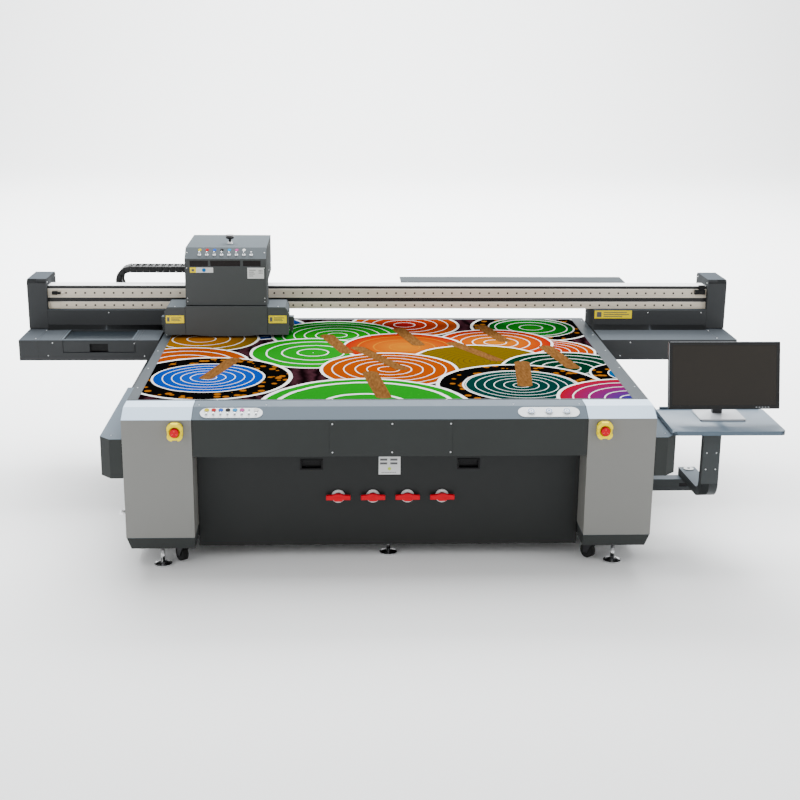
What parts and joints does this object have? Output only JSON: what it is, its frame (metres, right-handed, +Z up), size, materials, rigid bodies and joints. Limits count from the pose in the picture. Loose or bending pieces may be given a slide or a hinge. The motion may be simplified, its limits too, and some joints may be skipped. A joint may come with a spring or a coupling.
{
  "type": "flatbed uv printer",
  "caption": "Large flatbed UV printer with a gantry and print carriage travelling over a vacuum table, valve handles on the front panel and a monitor on a swing-out arm.",
  "frame": {"origin": "middle of the overall footprint, at floor level", "axes": "+X to the operator's right along the beam, +Y to the back of the machine, +Z up"},
  "size_m": [4.472, 2.32, 1.4835],
  "materials": {
    "column_grey": "satin grey paint",
    "dark_grey": "fine-textured dark grey paint",
    "gantry_grey": "fine-textured grey paint",
    "frame_black": "matt black paint",
    "table_metal": "anodised",
    "print_colours": "printed board, satin ink",
    "rail_beige": "ground steel strip with a warm tint",
    "beam_white": "satin white paint",
    "strip_black": "satin black",
    "tray_metal": "dark grey paint",
    "chain_black": "moulded nylon",
    "plate_white": "gloss printed plate",
    "button_blue": "gloss",
    "safety_red": "gloss red",
    "safety_yellow": "gloss yellow",
    "switch_chrome": "polished",
    "steel_parts": "zinc plated",
    "wheel_rubber": "matt",
    "pull_black": "moulded",
    "knob_black": "gloss",
    "shelf_blue": "pale blue-grey paint",
    "stand_silver": "silver paint",
    "monitor_black": "black bezel and dark screen"
  },
  "bodies": {
    "base": {"base_frame": "frame_black", "base_floor": "frame_black", "column_left": "column_grey", "column_right": "column_grey", "column_skirts": "dark_grey", "front_fascia": "dark_grey", "fascia_cover": "dark_grey", "front_panel": "dark_grey", "panel_pulls": "pull_black", "valve_dials": "plate_white", "control_plates": "plate_white", "estop_guards": "safety_yellow", "vacuum_table": "table_metal", "table_edging": "table_metal", "print_board": "print_colours", "side_housings": "dark_grey", "base_panels": "dark_grey", "y_rails": "steel_parts", "levelling_feet": "steel_parts", "monitor_bar": "dark_grey"},
    "gantry": {"gantry_beam": "beam_white", "beam_rails": "rail_beige", "magnet_track": "strip_black", "end_covers": "gantry_grey", "wing_left": "gantry_grey", "wing_right": "gantry_grey", "gantry_legs": "frame_black", "chain_trays": "tray_metal", "chain_lower_run": "chain_black"},
    "cross_slide": {"cross_slide": "table_metal"},
    "carriage": {"carriage_base": "dark_grey", "carriage_hood": "dark_grey", "uv_lamps": "dark_grey", "print_heads": "steel_parts"},
    "hood_knob": {"hood_knob": "knob_black"},
    "carriage_toggles": {"carriage_toggles": "switch_chrome"},
    "chain_bend": {"chain_bend": "chain_black"},
    "chain_end": {"chain_upper_run": "chain_black", "chain_end": "steel_parts"},
    "waste_drawer": {"waste_drawer": "dark_grey"},
    "ink_toggles": {"ink_toggles": "switch_chrome"},
    "panel_buttons": {"panel_buttons": "button_blue"},
    "estop_left": {"estop_left": "safety_red"},
    "estop_right": {"estop_right": "safety_red"},
    "monitor_arm": {"shelf_arm": "dark_grey", "shelf_top": "shelf_blue", "monitor_stand": "stand_silver"},
    "monitor": {"monitor": "monitor_black"},
    "valve_handle_1": {"valve_handle_1": "safety_red"},
    "caster_fork_1": {"caster_fork_1": "frame_black"},
    "caster_wheel_1": {"caster_wheel_1": "wheel_rubber"},
    "valve_handle_2": {"valve_handle_2": "safety_red"},
    "caster_fork_2": {"caster_fork_2": "frame_black"},
    "caster_wheel_2": {"caster_wheel_2": "wheel_rubber"},
    "valve_handle_3": {"valve_handle_3": "safety_red"},
    "caster_fork_3": {"caster_fork_3": "frame_black"},
    "caster_wheel_3": {"caster_wheel_3": "wheel_rubber"},
    "valve_handle_4": {"valve_handle_4": "safety_red"},
    "caster_fork_4": {"caster_fork_4": "frame_black"},
    "caster_wheel_4": {"caster_wheel_4": "wheel_rubber"}
  },
  "joints": [
    {"name": "gantry_travel", "type": "slide", "parent": "base", "child": "gantry", "axis": [0, 1, 0], "range_m": [-0.95, 0.02]},
    {"name": "carriage_travel", "type": "slide", "parent": "gantry", "child": "cross_slide", "axis": [1, 0, 0], "range_m": [-0.7, 2.62]},
    {"name": "carriage_lift", "type": "slide", "parent": "cross_slide", "child": "carriage", "axis": [0, 0, 1], "range_m": [0, 0.08]},
    {"name": "hood_knob_turn", "type": "hinge", "parent": "carriage", "child": "hood_knob", "pos_m": [-0.951, 0.798, 1.45], "axis": [0, 0, 1], "continuous": true},
    {"name": "carriage_toggle_flip", "type": "hinge", "parent": "carriage", "child": "carriage_toggles", "pos_m": [-0.964, 0.58834, 1.39676], "axis": [1, 0, 0], "range_deg": [-15, 15]},
    {"name": "chain_bend_travel", "type": "slide", "parent": "gantry", "child": "chain_bend", "axis": [1, 0, 0], "range_m": [-0.35, 1.31], "deforming": ["chain_lower_run"]},
    {"name": "chain_end_travel", "type": "slide", "parent": "chain_bend", "child": "chain_end", "axis": [1, 0, 0], "range_m": [-0.35, 1.31], "deforming": ["chain_upper_run"]},
    {"name": "waste_drawer_slide", "type": "slide", "parent": "gantry", "child": "waste_drawer", "axis": [0, -1, 0], "range_m": [0, 0.2]},
    {"name": "valve_1_turn", "type": "hinge", "parent": "base", "child": "valve_handle_1", "pos_m": [-0.271, -0.932, 0.355], "axis": [0, 1, 0], "range_deg": [0, 90]},
    {"name": "valve_2_turn", "type": "hinge", "parent": "base", "child": "valve_handle_2", "pos_m": [-0.087, -0.932, 0.355], "axis": [0, 1, 0], "range_deg": [0, 90]},
    {"name": "valve_3_turn", "type": "hinge", "parent": "base", "child": "valve_handle_3", "pos_m": [0.097, -0.932, 0.355], "axis": [0, 1, 0], "range_deg": [0, 90]},
    {"name": "valve_4_turn", "type": "hinge", "parent": "base", "child": "valve_handle_4", "pos_m": [0.281, -0.932, 0.355], "axis": [0, 1, 0], "range_deg": [0, 90]},
    {"name": "estop_left_press", "type": "slide", "parent": "base", "child": "estop_left", "axis": [0, 1, 0], "range_m": [0, 0.003], "stiffness_N_per_m": 1500},
    {"name": "estop_right_press", "type": "slide", "parent": "base", "child": "estop_right", "axis": [0, 1, 0], "range_m": [0, 0.003], "stiffness_N_per_m": 1500},
    {"name": "ink_toggle_flip", "type": "hinge", "parent": "base", "child": "ink_toggles", "pos_m": [-0.814, -1.07086, 0.8589], "axis": [1, 0, 0], "range_deg": [-15, 15]},
    {"name": "panel_button_press", "type": "slide", "parent": "base", "child": "panel_buttons", "axis": [0, 0.4088, -0.9126], "range_m": [0, 0.002], "stiffness_N_per_m": 900},
    {"name": "caster_1_swivel", "type": "hinge", "parent": "base", "child": "caster_fork_1", "pos_m": [-1.09, -0.952, 0.11], "axis": [0, 0, 1], "continuous": true},
    {"name": "caster_1_roll", "type": "hinge", "parent": "caster_fork_1", "child": "caster_wheel_1", "pos_m": [-1.10478, -0.93309, 0.046], "axis": [0.788, 0.6157, 0], "continuous": true},
    {"name": "caster_2_swivel", "type": "hinge", "parent": "base", "child": "caster_fork_2", "pos_m": [1.09, -0.952, 0.11], "axis": [0, 0, 1], "continuous": true},
    {"name": "caster_2_roll", "type": "hinge", "parent": "caster_fork_2", "child": "caster_wheel_2", "pos_m": [1.07522, -0.93309, 0.046], "axis": [0.788, 0.6157, 0], "continuous": true},
    {"name": "caster_3_swivel", "type": "hinge", "parent": "base", "child": "caster_fork_3", "pos_m": [-1.1, 0.858, 0.11], "axis": [0, 0, 1], "continuous": true},
    {"name": "caster_3_roll", "type": "hinge", "parent": "caster_fork_3", "child": "caster_wheel_3", "pos_m": [-1.1, 0.882, 0.046], "axis": [1, 0, 0], "continuous": true},
    {"name": "caster_4_swivel", "type": "hinge", "parent": "base", "child": "caster_fork_4", "pos_m": [1.1, 0.858, 0.11], "axis": [0, 0, 1], "continuous": true},
    {"name": "caster_4_roll", "type": "hinge", "parent": "caster_fork_4", "child": "caster_wheel_4", "pos_m": [1.1, 0.882, 0.046], "axis": [1, 0, 0], "continuous": true},
    {"name": "monitor_swivel", "type": "hinge", "parent": "base", "child": "monitor_arm", "pos_m": [1.681, -0.622, 0.39], "axis": [0, 0, 1], "range_deg": [0, 30]},
    {"name": "monitor_tilt", "type": "hinge", "parent": "monitor_arm", "child": "monitor", "pos_m": [1.76, -0.832, 0.98], "axis": [-1, 0, 0], "range_deg": [-18, 8]}
  ],
  "couplings": [
    {"joint": "chain_bend_travel", "follows": "carriage_travel", "ratio": 0.5},
    {"joint": "chain_end_travel", "follows": "carriage_travel", "ratio": 0.5}
  ]
}
